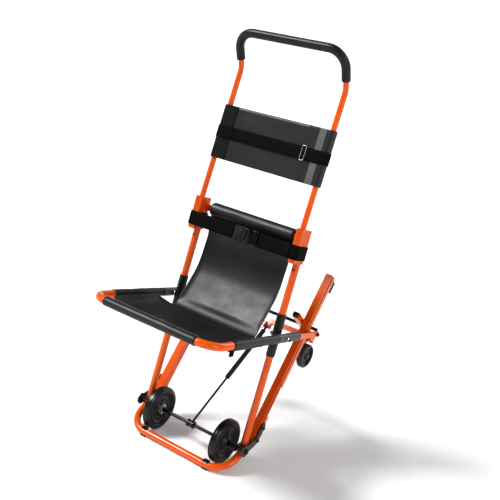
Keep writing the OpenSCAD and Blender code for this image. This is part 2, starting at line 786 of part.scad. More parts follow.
main_tube();
foot_pads();
upright_sleeves();
axle();
axle_clamps();
axle_collars();
axle_nuts();
clamp_block_left();
clamp_block_right();
cross_tube();
cross_tube_brackets();
cross_tube_cover();
sling_back();
waist_belt_left();
waist_belt_right();
buckle_socket();
buckle_plug();
belt_slider();
seat_pivot_bolts();
frame_screws();
seat_tube();
seat_front_sleeve();
seat_side_sleeves();
seat_rear_sleeves();
seat_pan();
seat_stop_bolts();
corner_strap();
corner_hook();
handle_tube();
foam_grip();
back_pad();
chest_strap();
chest_buckle();
rail_left();
rail_right();
track_belts();
rail_buffers();
pivot_plates();
rail_fasteners();
rod_lugs();
cross_rod();
pulley_top_left();
pulley_bottom_left();
pulley_top_right();
pulley_bottom_right();
castor_legs();
castor_crossbar();
leg_caps();
castor_brackets();
castor_bolts();
castor_hub_left();
castor_tyre_left();
castor_hub_right();
castor_tyre_right();
hub_left();
tyre_left();
hub_right();
tyre_right();
strut_rod();
strut_cylinder();
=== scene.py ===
"""Looks of the folding stair chair: vinyl, webbing, rubber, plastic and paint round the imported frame."""
import json
import math

import bmesh
import bpy
from mathutils import Matrix, Vector, noise


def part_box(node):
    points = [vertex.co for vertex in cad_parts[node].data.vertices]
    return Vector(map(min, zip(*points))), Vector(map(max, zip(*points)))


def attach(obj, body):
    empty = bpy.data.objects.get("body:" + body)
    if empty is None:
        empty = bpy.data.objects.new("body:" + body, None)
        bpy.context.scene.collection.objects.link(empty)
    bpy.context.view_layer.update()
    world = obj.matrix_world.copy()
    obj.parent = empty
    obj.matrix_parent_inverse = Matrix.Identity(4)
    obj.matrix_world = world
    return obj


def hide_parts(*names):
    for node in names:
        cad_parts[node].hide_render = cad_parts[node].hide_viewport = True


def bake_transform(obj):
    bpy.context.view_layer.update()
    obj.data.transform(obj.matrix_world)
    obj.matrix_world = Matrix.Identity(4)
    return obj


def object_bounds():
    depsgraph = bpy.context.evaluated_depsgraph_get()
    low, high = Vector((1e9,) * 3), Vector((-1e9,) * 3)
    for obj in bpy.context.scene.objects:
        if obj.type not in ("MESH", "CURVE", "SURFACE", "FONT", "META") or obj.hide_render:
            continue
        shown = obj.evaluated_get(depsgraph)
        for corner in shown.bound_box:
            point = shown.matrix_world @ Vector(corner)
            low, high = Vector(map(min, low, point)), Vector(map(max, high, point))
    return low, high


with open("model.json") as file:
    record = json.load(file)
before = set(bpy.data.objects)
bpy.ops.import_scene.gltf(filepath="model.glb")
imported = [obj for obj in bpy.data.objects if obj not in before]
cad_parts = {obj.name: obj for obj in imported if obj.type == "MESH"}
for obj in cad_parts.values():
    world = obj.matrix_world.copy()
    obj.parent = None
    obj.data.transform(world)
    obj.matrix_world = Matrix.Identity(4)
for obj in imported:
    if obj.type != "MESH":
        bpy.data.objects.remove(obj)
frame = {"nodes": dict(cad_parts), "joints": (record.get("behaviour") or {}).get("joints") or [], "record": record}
cad_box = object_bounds()
NODES = frame["nodes"]
JOINTS = {j["name"]: j for j in frame["joints"]}

# ---- The chair's own axes, in millimetres, taken from the frame's joints ----
MM = 0.001
SEAT_PIVOT_DROP = 72
SEAT_SLOPE = math.radians(2)
HANDLE_SLOPE = 0.039
HANDLE_Y0 = -38.5
LEG_DROP = math.radians(28)
RAIL_TILT = math.radians(22)

pivot = Vector(JOINTS["seat_fold"]["pos_m"])
axle_line = Vector(JOINTS["rail_fold"]["pos_m"])
rod_line = Vector(JOINTS["castor_fold"]["pos_m"])
handle_dir = Vector(JOINTS["handle_slide"]["axis"])
LEAN = math.atan2(handle_dir.y, handle_dir.z) - math.atan(HANDLE_SLOPE)


def axes(tilt):
    """Unit vectors x, y and z after a turn of minus tilt about x."""
    return (
        Vector((1, 0, 0)),
        Vector((0, math.cos(tilt), -math.sin(tilt))),
        Vector((0, math.sin(tilt), math.cos(tilt))),
    )


class Space:
    """A set of axes with an origin, that turns millimetres into the frame's metres."""

    def __init__(self, origin, tilt):
        self.origin = Vector(origin)
        self.x, self.y, self.z = axes(tilt)

    def at(self, x, y, z):
        return self.origin + (self.x * x + self.y * y + self.z * z) * MM


main = Space(pivot, LEAN)
main.origin = main.at(0, 0, SEAT_PIVOT_DROP)
seat = Space(pivot, LEAN - SEAT_SLOPE)
axle = Space(axle_line, LEAN)
rail = Space(axle_line, LEAN + RAIL_TILT)
castor = Space(rod_line, LEAN + LEG_DROP)
hand = Space(main.at(0, HANDLE_Y0, 0), LEAN + math.atan(HANDLE_SLOPE))

# ---- Camera ----
CAMERA_PLACE = Vector((1.423, -2.152, 1.4745))
CAMERA_AZIMUTH = math.radians(31.70)
CAMERA_DROP = math.radians(14.53)
CAMERA_ROLL = math.radians(9.77)
CAMERA_LENS = 58.17
CAMERA_SHIFT = (-0.0172, -0.0510)


def make_camera():
    data = bpy.data.cameras.new("camera")
    data.lens = CAMERA_LENS
    data.sensor_width = 36
    data.shift_x, data.shift_y = CAMERA_SHIFT
    camera = bpy.data.objects.new("camera", data)
    bpy.context.scene.collection.objects.link(camera)
    aim = Matrix.Rotation(CAMERA_AZIMUTH, 4, "Z") @ Matrix.Rotation(math.pi / 2 - CAMERA_DROP, 4, "X")
    camera.matrix_world = Matrix.Translation(CAMERA_PLACE) @ aim @ Matrix.Rotation(CAMERA_ROLL, 4, "Z")
    bpy.context.scene.camera = camera


# ---- Materials ----
def material(name, color, roughness, metallic=0.0, coat=0.0, sheen=0.0, specular=0.5):
    """A principled material; returns it with its nodes, links and shader."""
    mat = bpy.data.materials.new(name)
    mat.use_nodes = True
    shader = mat.node_tree.nodes["Principled BSDF"]
    shader.inputs["Base Color"].default_value = (*color, 1)
    shader.inputs["Roughness"].default_value = roughness
    shader.inputs["Metallic"].default_value = metallic
    shader.inputs["Coat Weight"].default_value = coat
    shader.inputs["Coat Roughness"].default_value = 0.16
    shader.inputs["Sheen Weight"].default_value = sheen
    shader.inputs["Specular IOR Level"].default_value = specular
    return mat, mat.node_tree.nodes, mat.node_tree.links, shader


def coordinates(nodes):
    return nodes.new("ShaderNodeTexCoord").outputs["Object"]


def noise_node(nodes, links, scale, detail=3.0, rough=0.5):
    node = nodes.new("ShaderNodeTexNoise")
    node.inputs["Scale"].default_value = scale
    node.inputs["Detail"].default_value = detail
    node.inputs["Roughness"].default_value = rough
    links.new(coordinates(nodes), node.inputs["Vector"])
    return node.outputs["Fac"]


def cells_node(nodes, links, scale, feature="F1"):
    node = nodes.new("ShaderNodeTexVoronoi")
    node.feature = feature
    node.inputs["Scale"].default_value = scale
    links.new(coordinates(nodes), node.inputs["Vector"])
    return node.outputs["Distance"]


def ramp_color(nodes, links, fac, dark, light, low=0.3, high=0.7):
    ramp = nodes.new("ShaderNodeValToRGB")
    ramp.color_ramp.elements[0].position = low
    ramp.color_ramp.elements[1].position = high
    ramp.color_ramp.elements[0].color = (*dark, 1)
    ramp.color_ramp.elements[1].color = (*light, 1)
    links.new(fac, ramp.inputs["Fac"])
    return ramp.outputs["Color"]


def ranged(nodes, links, fac, low, high):
    node = nodes.new("ShaderNodeMapRange")
    node.inputs["To Min"].default_value = low
    node.inputs["To Max"].default_value = high
    links.new(fac, node.inputs["Value"])
    return node.outputs["Result"]


def bumped(nodes, links, shader, heights):
    """Adds bumps one after another; heights is a list of (height socket, distance, strength)."""
    normal = None
    for height, distance, strength in heights:
        bump = nodes.new("ShaderNodeBump")
        bump.inputs["Distance"].default_value = distance
        bump.inputs["Strength"].default_value = strength
        links.new(height, bump.inputs["Height"])
        if normal is not None:
            links.new(normal, bump.inputs["Normal"])
        normal = bump.outputs["Normal"]
    links.new(normal, shader.inputs["Normal"])


def paint(name, color, deep):
    """Powder coat: orange-peel bump, faint cloudiness and an uneven gloss."""
    mat, nodes, links, shader = material(name, color, 0.34, coat=0.15, specular=0.35)
    cloud = noise_node(nodes, links, 9, 4)
    links.new(ramp_color(nodes, links, cloud, deep, color), shader.inputs["Base Color"])
    links.new(ranged(nodes, links, noise_node(nodes, links, 60, 3), 0.16, 0.26), shader.inputs["Roughness"])
    bumped(nodes, links, shader, [(noise_node(nodes, links, 900, 2), 0.00006, 0.25)])
    return mat


def vinyl(name, dark, light, roughness=0.45):
    """Coated fabric: pebble grain, slow creasing and uneven gloss."""
    mat, nodes, links, shader = material(name, dark, roughness, specular=0.42)
    cloud = noise_node(nodes, links, 6, 5, 0.6)
    links.new(ramp_color(nodes, links, cloud, dark, light), shader.inputs["Base Color"])
    gloss = noise_node(nodes, links, 28, 4)
    links.new(ranged(nodes, links, gloss, roughness - 0.08, roughness + 0.1), shader.inputs["Roughness"])
    grain = cells_node(nodes, links, 620)
    bumped(nodes, links, shader, [
        (grain, 0.00012, 0.35),
        (noise_node(nodes, links, 20, 3), 0.0006, 0.08),
    ])
    return mat


def webbing(name, dark, light):
    """Woven strap: ribs across its run and fine yarn along it."""
    mat, nodes, links, shader = material(name, dark, 0.85, specular=0.1)
    ribs = nodes.new("ShaderNodeTexWave")
    ribs.wave_type = "BANDS"
    ribs.bands_direction = "DIAGONAL"
    ribs.inputs["Scale"].default_value = 210
    ribs.inputs["Distortion"].default_value = 0.4
    links.new(coordinates(nodes), ribs.inputs["Vector"])
    rows = nodes.new("ShaderNodeTexWave")
    rows.bands_direction = "Z"
    rows.inputs["Scale"].default_value = 170
    rows.inputs["Distortion"].default_value = 0.3
    links.new(coordinates(nodes), rows.inputs["Vector"])
    links.new(ramp_color(nodes, links, ribs.outputs["Fac"], dark, light), shader.inputs["Base Color"])
    bumped(nodes, links, shader, [
        (rows.outputs["Fac"], 0.0003, 0.5),
        (ribs.outputs["Fac"], 0.0003, 0.6),
    ])
    return mat


def rubber(name, dark, light, roughness, grain=420, depth=0.0001):
    mat, nodes, links, shader = material(name, dark, roughness, specular=0.38)
    dust = noise_node(nodes, links, 22, 5, 0.65)
    links.new(ramp_color(nodes, links, dust, dark, light), shader.inputs["Base Color"])
    links.new(ranged(nodes, links, dust, roughness - 0.07, roughness + 0.12), shader.inputs["Roughness"])
    bumped(nodes, links, shader, [(noise_node(nodes, links, grain, 3), depth, 0.5)])
    return mat


def foam(name):
    """Closed-cell foam: tiny cells and a soft satin skin."""
    mat, nodes, links, shader = material(name, (0.008, 0.008, 0.009), 0.42, specular=0.35)
    patch = noise_node(nodes, links, 14, 4)
    links.new(ramp_color(nodes, links, patch, (0.003, 0.003, 0.004), (0.009, 0.009, 0.011)),
              shader.inputs["Base Color"])
    bumped(nodes, links, shader, [
        (cells_node(nodes, links, 900), 0.00012, 0.45),
        (noise_node(nodes, links, 70, 3), 0.0005, 0.25),
    ])
    return mat


def steel(name, color, roughness, metallic=1.0):
    mat, nodes, links, shader = material(name, color, roughness, metallic=metallic)
    stain = noise_node(nodes, links, 40, 4)
    links.new(ranged(nodes, links, stain, roughness - 0.08, roughness + 0.14), shader.inputs["Roughness"])
    bumped(nodes, links, shader, [(noise_node(nodes, links, 700, 2), 0.00004, 0.3)])
    return mat


MATS = {
    "orange_paint": paint("orange powder coat", (0.70, 0.104, 0.003), (0.62, 0.084, 0.002)),
    "black_vinyl": vinyl("black vinyl", (0.008, 0.008, 0.0088), (0.014, 0.014, 0.0155)),
    "black_webbing": webbing("black webbing", (0.002, 0.002, 0.0024), (0.007, 0.007, 0.0078)),
    "tyre_rubber": rubber("tyre rubber", (0.004, 0.004, 0.0045), (0.011, 0.011, 0.012), 0.26),
    "black_rubber": rubber("black rubber", (0.004, 0.004, 0.0045), (0.010, 0.010, 0.011), 0.45),
    "black_plastic": rubber("black plastic", (0.004, 0.004, 0.0045), (0.009, 0.009, 0.01), 0.3, 650, 0.00006),
    "black_foam": foam("black foam"),
    "black_steel": steel("black steel", (0.018, 0.018, 0.02), 0.36, 0.4),
    "grey_steel": steel("grey steel", (0.10, 0.10, 0.108), 0.42, 0.7),
    "plain_steel": steel("plain steel", (0.62, 0.62, 0.64), 0.28),
}
# Painted sheen: lighter vinyl for a band on the back pad's right side, standing in for its reflection
MATS["painted_sheen_vinyl"] = vinyl("painted sheen vinyl", (0.07, 0.07, 0.075), (0.15, 0.15, 0.156), 0.3)
MATS["velcro"] = rubber("hook and loop", (0.003, 0.003, 0.0035), (0.007, 0.007, 0.008), 0.95, 1200, 0.0003)
# Painted shade: dark red-brown for a strip laid in the rails' grooves
MATS["painted_groove_shade"] = paint("painted groove shadow", (0.16, 0.008, 0.003), (0.09, 0.004, 0.002))
MATS["grey_sleeve"] = rubber("grey sleeve", (0.05, 0.05, 0.053), (0.075, 0.075, 0.08), 0.42)
MATS["grey_castor"] = rubber("castor rubber", (0.022, 0.023, 0.025), (0.040, 0.041, 0.044), 0.5)


# ---- Mesh helpers ----
def make_object(name, verts, faces, mat, smooth=True):
    mesh = bpy.data.meshes.new(name)
    mesh.from_pydata([tuple(v) for v in verts], [], faces)
    bm = bmesh.new()
    bm.from_mesh(mesh)
    bmesh.ops.recalc_face_normals(bm, faces=bm.faces)
    bm.to_mesh(mesh)
    bm.free()
    mesh.materials.append(MATS[mat])
    for poly in mesh.polygons:
        poly.use_smooth = smooth
    obj = bpy.data.objects.new(name, mesh)
    bpy.context.scene.collection.objects.link(obj)
    return obj


def applied(obj):
    """Bakes an object's modifiers into its mesh."""
    deps = bpy.context.evaluated_depsgraph_get()
    mesh = bpy.data.meshes.new_from_object(obj.evaluated_get(deps))
    obj.modifiers.clear()
    obj.data = mesh
    return obj


def thicken(obj, thick, centred=True):
    """Adds a thickness, in mm, as a modifier; centred puts half of it on each side of the sheet."""
    mod = obj.modifiers.new("thick", "SOLIDIFY")
    mod.thickness = thick * MM
    if centred:
        mod.offset = 0


def smoothed(obj):
    """Bakes an object's modifiers and shades all its faces smooth."""
    applied(obj)
    for poly in obj.data.polygons:
        poly.use_smooth = True


def bevelled(obj, width, segments=2, angle=40):
    mod = obj.modifiers.new("bevel", "BEVEL")
    mod.width = width * MM
    mod.segments = segments
    mod.limit_method = "ANGLE"
    mod.angle_limit = math.radians(angle)
    mod.harden_normals = True
    return applied(obj)


def swept(rings, closed_ring=True, closed_path=False, capped=True):
    """Faces and vertices of a skin over rings that all have the same number of points."""
    count = len(rings[0])
    verts = [p for ring in rings for p in ring]
    faces = []
    steps = len(rings) if closed_path else len(rings) - 1
    for i in range(steps):
        a, b = i * count, ((i + 1) % len(rings)) * count
        for j in range(count if closed_ring else count - 1):
            k = (j + 1) % count
            faces.append((a + j, a + k, b + k, b + j))
    if capped and closed_ring and not closed_path:
        faces.append(tuple(range(count)))
        faces.append(tuple(reversed(range(len(verts) - count, len(verts)))))
    return verts, faces


def lathe(name, profile, space, centre, mat, segments=96, wobble=None):
    """Turns a closed (across, radius) profile, in mm, about the x axis through centre."""
    rings = []
    for i in range(segments):
        a = 2 * math.pi * i / segments
        ring = []
        for j, (across, radius) in enumerate(profile):
            r = radius + (wobble(i, j) if wobble else 0)
            y, z = r * math.cos(a), r * math.sin(a)
            ring.append(space.at(centre[0] + across, centre[1] + y, centre[2] + z))
        rings.append(ring)
    verts, faces = swept(rings, closed_path=True)
    return make_object(name, verts, faces, mat)


def smooth_path(points, per=8):
    """Catmull-Rom curve through points of any dimension."""
    out = []
    for i in range(len(points) - 1):
        p = [points[max(i - 1, 0)], points[i], points[i + 1], points[min(i + 2, len(points) - 1)]]
        for s in range(per):
            t = s / per
            out.append(tuple(
                0.5 * (2 * b + (c - a) * t + (2 * a - 5 * b + 4 * c - d) * t ** 2
                       + (3 * b - a - 3 * c + d) * t ** 3)
                for a, b, c, d in zip(*p)
            ))
    out.append(tuple(points[-1]))
    return out


def ribbon(name, space, path, width, thick, mat, closed=False, z_mid=0.0, up=None, bow=0.0):
    """Flat strap that stands on edge along z and follows (x, y) points; up(i) may shift each point's z."""
    count = len(path)
    rings = []
    for i, (x, y) in enumerate(path):
        a = path[i - 1] if i or closed else path[i]
        b = path[(i + 1) % count] if closed or i < count - 1 else path[i]
        tx, ty = b[0] - a[0], b[1] - a[1]
        size = math.hypot(tx, ty) or 1
        nx, ny = ty / size, -tx / size
        lift = z_mid + (up(i) if up else 0)
        edge = thick * 0.35
        section = [
            (-width / 2 + edge, -thick / 2), (-width / 4, -thick / 2 - bow), (0, -thick / 2 - bow * 1.3),
            (width / 4, -thick / 2 - bow), (width / 2 - edge, -thick / 2), (width / 2, 0),
            (width / 2 - edge, thick / 2), (width / 4, thick / 2 - bow), (0, thick / 2 - bow * 1.3),
            (-width / 4, thick / 2 - bow), (-width / 2 + edge, thick / 2), (-width / 2, 0),
        ]
        rings.append([space.at(x + nx * t, y + ny * t, lift + h) for h, t in section])
    verts, faces = swept(rings, closed_path=closed)
    return make_object(name, verts, faces, mat)


def wire(name, points, radius, mat, closed=False, sides=10):
    """Round wire through world points, in metres, with the radius in mm."""
    rings = []
    count = len(points)
    last = None
    for i, p in enumerate(points):
        a = points[i - 1] if i or closed else p
        b = points[(i + 1) % count] if closed or i < count - 1 else p
        t = (b - a).normalized()
        ref = Vector((0, 0, 1)) if abs(t.z) < 0.9 else Vector((1, 0, 0))
        n = t.cross(ref).normalized() if last is None else (last - t * last.dot(t)).normalized()
        last = n
        m = t.cross(n)
        rings.append([p + (n * math.cos(2 * math.pi * k / sides) + m * math.sin(2 * math.pi * k / sides))
                      * radius * MM for k in range(sides)])
    verts, faces = swept(rings, closed_path=closed)
    return make_object(name, verts, faces, mat)


def block_mesh(bm, space, low, high):
    """Adds a box between two corners, in mm, to a bmesh."""
    corners = [bm.verts.new(space.at(x, y, z)) for x in (low[0], high[0]) for y in (low[1], high[1])
               for z in (low[2], high[2])]
    for f in ((0, 1, 3, 2), (4, 6, 7, 5), (0, 4, 5, 1), (2, 3, 7, 6), (0, 2, 6, 4), (1, 5, 7, 3)):
        bm.faces.new([corners[i] for i in f])


def blocks(name, space, boxes, mat, bevel=0.8):
    """Several bevelled boxes as one moulded piece."""
    bm = bmesh.new()
    for low, high in boxes:
        block_mesh(bm, space, low, high)
    bmesh.ops.recalc_face_normals(bm, faces=bm.faces)
    mesh = bpy.data.meshes.new(name)
    bm.to_mesh(mesh)
    bm.free()
    mesh.materials.append(MATS[mat])
    for poly in mesh.polygons:
        poly.use_smooth = True
    obj = bpy.data.objects.new(name, mesh)
    bpy.context.scene.collection.objects.link(obj)
    return bevelled(obj, bevel)


def stitches(name, points, mat, body, length=3.2, radius=0.35):
    """A row of short raised stitches along world points."""
    verts, faces = [], []
    gap = 0.35
    sides = 5
    total = 0.0
    cuts = [0.0]
    for a, b in zip(points, points[1:]):
        total += (b - a).length
        cuts.append(total)

    def along(d):
        for i in range(len(points) - 1):
            if d <= cuts[i + 1] or i == len(points) - 2:
                t = (d - cuts[i]) / max(cuts[i + 1] - cuts[i], 1e-9)
                return points[i].lerp(points[i + 1], t)
        return points[-1]

    count = int(total / (length * MM))
    for s in range(count):
        a = along((s + gap / 2) * length * MM)
        b = along((s + 1 - gap / 2) * length * MM)
        t = (b - a).normalized()
        ref = Vector((0, 0, 1)) if abs(t.z) < 0.9 else Vector((1, 0, 0))
        n = t.cross(ref).normalized()
        m = t.cross(n)
        base = len(verts)
        for p, k in ((a, 0.4), (a.lerp(b, 0.25), 1), (a.lerp(b, 0.75), 1), (b, 0.4)):
            for q in range(sides):
                ang = 2 * math.pi * q / sides
                verts.append(p + (n * math.cos(ang) + m * math.sin(ang)) * radius * MM * k)
        for r in range(3):
            near, far = base + r * sides, base + (r + 1) * sides
            for q in range(sides):
                w = (q + 1) % sides
                faces.append((near + q, near + w, far + w, far + q))
        faces.append(tuple(base + q for q in range(sides)))
        faces.append(tuple(base + 3 * sides + q for q in reversed(range(sides))))
    obj = make_object(name, verts, faces, mat)
    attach(obj, body)
    return obj


# ---- Sling and seat pan ----
SLING_HALF = 171
SLING_FLARE = 6
PAN_HALF = 227
TUBE_R = 12.5
SEAT_HALF = 243
SEAT_DEPTH = 416
SHEET_T = 1.8
SLING_ACROSS = 56
PAN_FRONT_HALF = 178
PAN_START_Y, PAN_TOP_Z = -48, 4


def seat_point(y, z):
    """A point of the seat's own (y, z), in the main frame's (y, z)."""
    c, s = math.cos(SEAT_SLOPE), math.sin(SEAT_SLOPE)
    return (y * c - z * s, y * s + z * c - SEAT_PIVOT_DROP)


def blend_in(value, low, high):
    """0 below low, 1 above high, with a smooth step between them."""
    t = min(max((value - low) / (high - low), 0), 1)
    return t * t * (3 - 2 * t)


def make_sling():
    """One vinyl sheet: down from the cross tube behind the sitter, then over the seat to the front bar."""
    back = [(10, 246), (10, 232), (12, 205), (16, 165), (18, 118), (15, 76), (6, 38), (-10, 2), (-30, -38)]
    pan = [(-62, -16), (-92, -25), (-130, -30), (-180, -33), (-235, -33), (-290, -29), (-340, -21),
           (-380, -9), (-403, 3)]
    path = smooth_path(back + [seat_point(*p) for p in pan], 6)
    rows = []
    for y, z in path:
        ys = y * math.cos(SEAT_SLOPE) + (z + SEAT_PIVOT_DROP) * math.sin(SEAT_SLOPE)
        zs = -y * math.sin(SEAT_SLOPE) + (z + SEAT_PIVOT_DROP) * math.cos(SEAT_SLOPE)
        on_pan = ys < PAN_START_Y and zs < PAN_TOP_Z
        half = SLING_HALF + SLING_FLARE * blend_in(z, 160, 215)
        spread = corner = 0
        if on_pan:
            spread = blend_in(-ys, 66, 112)
            half += (PAN_HALF - SLING_HALF) * spread
            corner = min(max((-300 - ys) / 105, 0), 1)
            half -= (PAN_HALF - PAN_FRONT_HALF) * corner ** 1.5
        row = []
        for i in range(SLING_ACROSS + 1):
            u = 2 * i / SLING_ACROSS - 1
            ripple = noise.noise(Vector((u * 2.4, y * 0.010, z * 0.009))) * 0.5
            fine = noise.noise(Vector((u * 8.0, y * 0.03, z * 0.025))) * 0.1
            if on_pan:
                wall = abs(u) ** 9 * spread * (1 - corner)
                sag = -4 * (1 - abs(u) ** 4) * spread * (1 - corner)
                py, pz = seat_point(ys, zs + (1 - zs) * wall + sag + ripple + fine)
            else:
                scoop = 9 * (1 - u * u) * blend_in(-z, -235, -120)
                scoop -= 5 * (max(abs(u) - 0.88, 0) / 0.12) ** 2 * blend_in(-z, -170, -110)
                py, pz = y + scoop + (ripple + fine) * blend_in(-z, -235, -190), z
            row.append(main.at(u * half, py, pz))
        rows.append(row)
    verts, faces = swept(rows, closed_ring=False)
    sling = make_object("sling_sheet", verts, faces, "black_vinyl")
    thicken(sling, SHEET_T)
    sub = sling.modifiers.new("sub", "SUBSURF")
    sub.levels = sub.render_levels = 1
    smoothed(sling)
    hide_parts("sling_back", "seat_pan")
    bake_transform(sling)


def wrapped_tube(name, space, start, end, radius, mat, body, seam_at, folds=0.5, sides=40, hem=2.2):
    """Vinyl sewn round a tube from start to end, with a raised hem along one side and puckered ends."""
    a, b = Vector(start), Vector(end)
    run = (b - a)
    length = run.length
    t = run / length
    ref = Vector((0, 0, 1))
    n = (ref - t * ref.dot(t)).normalized()
    m = t.cross(n)
    rings = []
    steps = max(int(length / 5), 8)
    for i in range(-1, steps + 2):
        s = min(max(i / steps, 0), 1)
        inset = 1.6 if i in (-1, steps + 1) else 0
        ring = []
        for k in range(sides):
            ang = 2 * math.pi * k / sides
            lump = noise.noise(Vector((s * length * 0.03, math.cos(ang) * 1.3, math.sin(ang) * 1.3 + a.x)))
            gap = (ang - seam_at + math.pi) % (2 * math.pi) - math.pi
            ridge = hem * math.exp(-(gap / 0.16) ** 2)
            r = radius + lump * folds + ridge - inset
            p = a + t * (s * length) + n * (r * math.cos(ang)) + m * (r * math.sin(ang))
            ring.append(space.at(*p))
        rings.append(ring)
    verts, faces = swept(rings)
    obj = make_object(name, verts, faces, mat)
    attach(obj, body)
    return obj


def make_seat_sleeves():
    """Vinyl hems round the seat's front and side tubes, with stitching beside them."""
    front = wrapped_tube("front_hem", seat, (-182, -SEAT_DEPTH, 0), (182, -SEAT_DEPTH, 0), TUBE_R + 2.6,
                         "black_vinyl", "seat", math.radians(318), folds=0.4)
    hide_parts("seat_front_sleeve")
    piping = [seat.at(x, -SEAT_DEPTH + 9.5, 12.8) for x in range(-180, 181, 6)]
    cord = wire("front_piping", piping, 1.5, "grey_sleeve")
    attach(cord, "seat")
    for side, name in ((-1, "left"), (1, "right")):
        x = side * SEAT_HALF
        hem_at = math.radians(90 if side > 0 else 270)
        hem = wrapped_tube(f"side_hem_{name}", seat, (x, -56, 0), (x, -316, 0), TUBE_R + 2.3,
                           "black_vinyl", "seat", hem_at, folds=0.8, hem=1.2)
        if side > 0:
            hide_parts("seat_side_sleeves")
        skirt = []
        for i in range(40):
            y = -104 - 200 * i / 39
            drop = -28 + 3 * noise.noise(Vector((y * 0.02, side, 0)))
            skirt.append([
                seat.at(side * (SEAT_HALF - 12 - t * 5 + 2.5 * math.sin(t * 3.1)), y, -4 + (drop + 4) * t)
                for t in (0, 0.25, 0.5, 0.75, 1)
            ])
        verts, faces = swept(skirt, closed_ring=False)
        wall = make_object(f"side_skirt_{name}", verts, faces, "black_vinyl")
        thicken(wall, SHEET_T, centred=False)
        smoothed(wall)
        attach(wall, "seat")
        row = [seat.at(side * (SEAT_HALF - 15.5), y, -9) for y in range(-108, -300, -6)]
        stitches(f"side_hem_stitches_{name}", row, "black_webbing", "seat")


# ---- Cross tube cover ----
COVER_HALF, COVER_R = 172, 24
COVER_Y, COVER_Z = 8, 257


def make_cross_cover():
    """Vinyl rolled round the padded cross tube, with a lapped seam and tucked ends."""
    half = COVER_HALF
    sides = 56
    steps = 60
    ends = [(4, 14.5), (1.2, 18.5), (0, 21.0), (0.6, 22.8)]
    profile = [(-half + a, r) for a, r in ends]
    profile += [(-half + 3 + (2 * half - 6) * i / steps, COVER_R) for i in range(steps + 1)]
    profile += [(half - a, r) for a, r in reversed(ends)]
    rings = []
    for x, r in profile:
        ring = []
        for k in range(sides):
            ang = 2 * math.pi * k / sides
            lump = noise.noise(Vector((x * 0.015, math.cos(ang) * 1.1, math.sin(ang) * 1.1))) * 0.8
            gap = (ang - math.radians(262) + math.pi) % (2 * math.pi) - math.pi
            lap = 1.6 * math.exp(-(gap / 0.12) ** 2)
            rr = r + (lump + lap if r > 22.5 else 0)
            ring.append(main.at(x, COVER_Y + rr * math.cos(ang), COVER_Z + rr * math.sin(ang)))
        rings.append(ring)
    verts, faces = swept(rings)
    cover = make_object("cross_cover", verts, faces, "black_vinyl")
    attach(cover, "main_frame")
    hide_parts("cross_tube_cover")


# ---- Back pad and chest strap ----
HANDLE_HALF = 209
PAD_Z0, PAD_Z1 = 434, 622
PAD_R = 12.6


def loop_path(half, r, turn_steps=14, run_steps=40, belly=0.0):
    """Closed (x, y) path round two bars, starting at the front left; belly pulls the front in."""
    pts = []
    for i in range(run_steps):
        t = i / run_steps
        pts.append((-half + 2 * half * t, -r + belly * math.sin(math.pi * t)))
    for i in range(turn_steps):
        a = -math.pi / 2 + math.pi * i / turn_steps
        pts.append((half + r * math.cos(a), r * math.sin(a)))
    for i in range(run_steps):
        t = i / run_steps
        pts.append((half - 2 * half * t, r - belly * math.sin(math.pi * t)))
    for i in range(turn_steps):
        a = math.pi / 2 + math.pi * i / turn_steps
        pts.append((-half + r * math.cos(a), r * math.sin(a)))
    return pts


def panel(name, x0, x1, z0, z1, offset, mat="black_vinyl", steps=26, rows=20, wrap=None, thick=1.7):
    """A vinyl layer on the front of the pad between x0 and x1, optionally wrapping round one tube."""
    pts = []
    for i in range(steps + 1):
        x = x0 + (x1 - x0) * i / steps
        pts.append((x, -PAD_R - offset))
    if wrap:
        turned = []
        for i in range(1, 11):
            a = -math.pi / 2 + math.radians(170) * i / 10
            turned.append((HANDLE_HALF + (PAD_R + offset) * math.cos(a), (PAD_R + offset) * math.sin(a)))
        if wrap < 0:
            turned = [(-x, y) for x, y in turned]
            pts = list(reversed(turned)) + pts
        else:
            pts = pts + turned
    grid = []
    for r in range(rows + 1):
        z = z0 + (z1 - z0) * r / rows
        line = []
        for x, y in pts:
            lump = noise.noise(Vector((x * 0.012, z * 0.02, offset))) * 0.8
            lump += noise.noise(Vector((x * 0.05, z * 0.06, offset + 3))) * 0.25
            line.append(hand.at(x, y - (lump if y < 0 else 0), z))
        grid.append(line)
    verts, faces = swept(grid, closed_ring=False)
    obj = make_object(name, verts, faces, mat)
    thicken(obj, thick)
    bev = obj.modifiers.new("bevel", "BEVEL")
    bev.width = 0.4 * MM
    bev.segments = 2
    smoothed(obj)
    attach(obj, "handle")
    return obj


